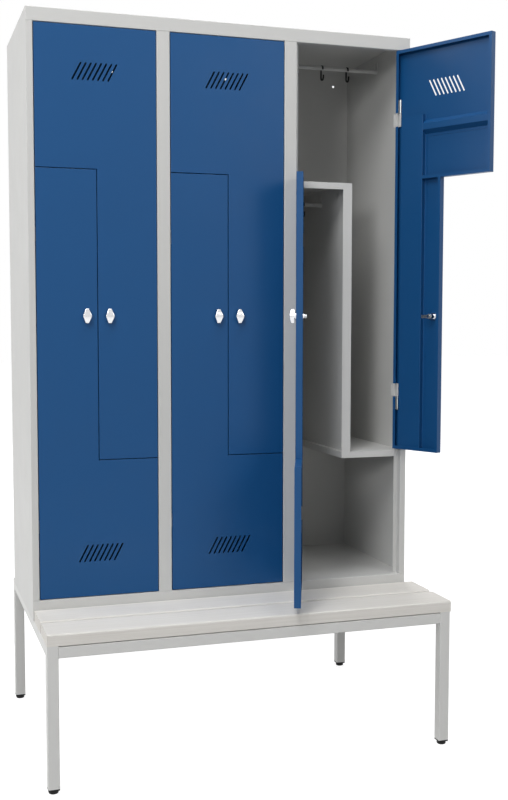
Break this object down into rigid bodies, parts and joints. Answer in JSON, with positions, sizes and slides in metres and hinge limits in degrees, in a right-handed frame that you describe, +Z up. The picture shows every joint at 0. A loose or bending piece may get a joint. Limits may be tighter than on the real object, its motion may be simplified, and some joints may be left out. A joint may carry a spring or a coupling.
{
  "type": "locker with bench",
  "caption": "Tall sheet-steel locker with Z-shaped doors in pairs on a square-tube frame with a slatted seat in front.",
  "frame": {"origin": "on the floor, under the middle of the object's box as it stands with the last bay's doors open", "axes": "+X along the front to the right as seen by someone facing the doors, +Y from the seat to the back, +Z up"},
  "size_m": [1.3278, 0.9064, 2.188],
  "materials": {
    "body_sheet": "light grey powder coat, semi-matt",
    "black_plastic": "black moulded plastic",
    "hinge_steel": "plain zinc-plated steel",
    "bench_frame": "light grey powder coat",
    "seat_slats": "pale grey plastic slats",
    "zinc_steel": "zinc-plated steel",
    "door_paint": "blue powder coat, semi-matt",
    "latch_chrome": "bright plated"
  },
  "bodies": {
    "carcass": {"side_panel_left": "body_sheet", "side_panel_right": "body_sheet", "top_panel": "body_sheet", "floor_panel": "body_sheet", "back_panel": "body_sheet", "middle_posts": "body_sheet", "dividers": "body_sheet", "z_partition_1": "body_sheet", "z_partition_2": "body_sheet", "z_partition_3": "body_sheet", "hook_rails": "body_sheet", "rail_brackets": "body_sheet", "coat_hooks": "black_plastic", "hinge_leaves": "body_sheet", "front_legs": "bench_frame", "back_legs": "bench_frame", "front_rail": "bench_frame", "back_rail": "bench_frame", "side_rails": "bench_frame", "cross_rails": "bench_frame", "seat_slat_1": "seat_slats", "seat_slat_2": "seat_slats", "slat_screws": "zinc_steel", "feet": "black_plastic"},
    "door_1_upper": {"door_shell_1_upper": "door_paint", "door_stiffeners_1_upper": "door_paint", "hinge_knuckles_1_upper": "hinge_steel", "lock_barrel_1_upper": "latch_chrome"},
    "latch_1_upper": {"handle_1_upper": "latch_chrome", "lock_cam_1_upper": "zinc_steel"},
    "door_1_lower": {"door_shell_1_lower": "door_paint", "door_stiffeners_1_lower": "door_paint", "hinge_knuckles_1_lower": "hinge_steel", "lock_barrel_1_lower": "latch_chrome"},
    "latch_1_lower": {"handle_1_lower": "latch_chrome", "lock_cam_1_lower": "zinc_steel"},
    "door_2_upper": {"door_shell_2_upper": "door_paint", "door_stiffeners_2_upper": "door_paint", "hinge_knuckles_2_upper": "hinge_steel", "lock_barrel_2_upper": "latch_chrome"},
    "latch_2_upper": {"handle_2_upper": "latch_chrome", "lock_cam_2_upper": "zinc_steel"},
    "door_2_lower": {"door_shell_2_lower": "door_paint", "door_stiffeners_2_lower": "door_paint", "hinge_knuckles_2_lower": "hinge_steel", "lock_barrel_2_lower": "latch_chrome"},
    "latch_2_lower": {"handle_2_lower": "latch_chrome", "lock_cam_2_lower": "zinc_steel"},
    "door_3_upper": {"door_shell_3_upper": "door_paint", "door_stiffeners_3_upper": "door_paint", "hinge_knuckles_3_upper": "hinge_steel", "lock_barrel_3_upper": "latch_chrome"},
    "latch_3_upper": {"handle_3_upper": "latch_chrome", "lock_cam_3_upper": "zinc_steel"},
    "door_3_lower": {"door_shell_3_lower": "door_paint", "door_stiffeners_3_lower": "door_paint", "hinge_knuckles_3_lower": "hinge_steel", "lock_barrel_3_lower": "latch_chrome"},
    "latch_3_lower": {"handle_3_lower": "latch_chrome", "lock_cam_3_lower": "zinc_steel"}
  },
  "joints": [
    {"name": "door_1_upper_swing", "type": "hinge", "parent": "carcass", "child": "door_1_upper", "pos_m": [-0.29315, -0.12197, 1.312], "axis": [0, 0, 1], "range_deg": [0, 120]},
    {"name": "latch_1_upper_turn", "type": "hinge", "parent": "door_1_upper", "child": "latch_1_upper", "pos_m": [-0.43065, -0.12677, 1.312], "axis": [0, -1, 0], "range_deg": [0, 180]},
    {"name": "door_1_lower_swing", "type": "hinge", "parent": "carcass", "child": "door_1_lower", "pos_m": [-0.63515, -0.12197, 1.312], "axis": [0, 0, 1], "range_deg": [-120, 0]},
    {"name": "latch_1_lower_turn", "type": "hinge", "parent": "door_1_lower", "child": "latch_1_lower", "pos_m": [-0.49765, -0.12677, 1.312], "axis": [0, -1, 0], "range_deg": [0, 180]},
    {"name": "door_2_upper_swing", "type": "hinge", "parent": "carcass", "child": "door_2_upper", "pos_m": [0.10685, -0.12197, 1.312], "axis": [0, 0, 1], "range_deg": [0, 68]},
    {"name": "latch_2_upper_turn", "type": "hinge", "parent": "door_2_upper", "child": "latch_2_upper", "pos_m": [-0.03065, -0.12677, 1.312], "axis": [0, -1, 0], "range_deg": [0, 180]},
    {"name": "door_2_lower_swing", "type": "hinge", "parent": "carcass", "child": "door_2_lower", "pos_m": [-0.23515, -0.12197, 1.312], "axis": [0, 0, 1], "range_deg": [-120, 0]},
    {"name": "latch_2_lower_turn", "type": "hinge", "parent": "door_2_lower", "child": "latch_2_lower", "pos_m": [-0.09765, -0.12677, 1.312], "axis": [0, -1, 0], "range_deg": [0, 180]},
    {"name": "door_3_upper_swing", "type": "hinge", "parent": "carcass", "child": "door_3_upper", "pos_m": [0.50685, -0.12197, 1.312], "axis": [0, 0, 1], "range_deg": [-116, 4]},
    {"name": "latch_3_upper_turn", "type": "hinge", "parent": "door_3_upper", "child": "latch_3_upper", "pos_m": [0.57144, -0.24345, 1.312], "axis": [0.8988, 0.4384, 0], "range_deg": [0, 180]},
    {"name": "door_3_lower_swing", "type": "hinge", "parent": "carcass", "child": "door_3_lower", "pos_m": [0.16485, -0.12197, 1.312], "axis": [0, 0, 1], "range_deg": [-9, 111]},
    {"name": "latch_3_lower_turn", "type": "hinge", "parent": "door_3_lower", "child": "latch_3_lower", "pos_m": [0.11109, -0.24861, 1.312], "axis": [-0.9336, 0.3584, 0], "range_deg": [0, 180]}
  ]
}
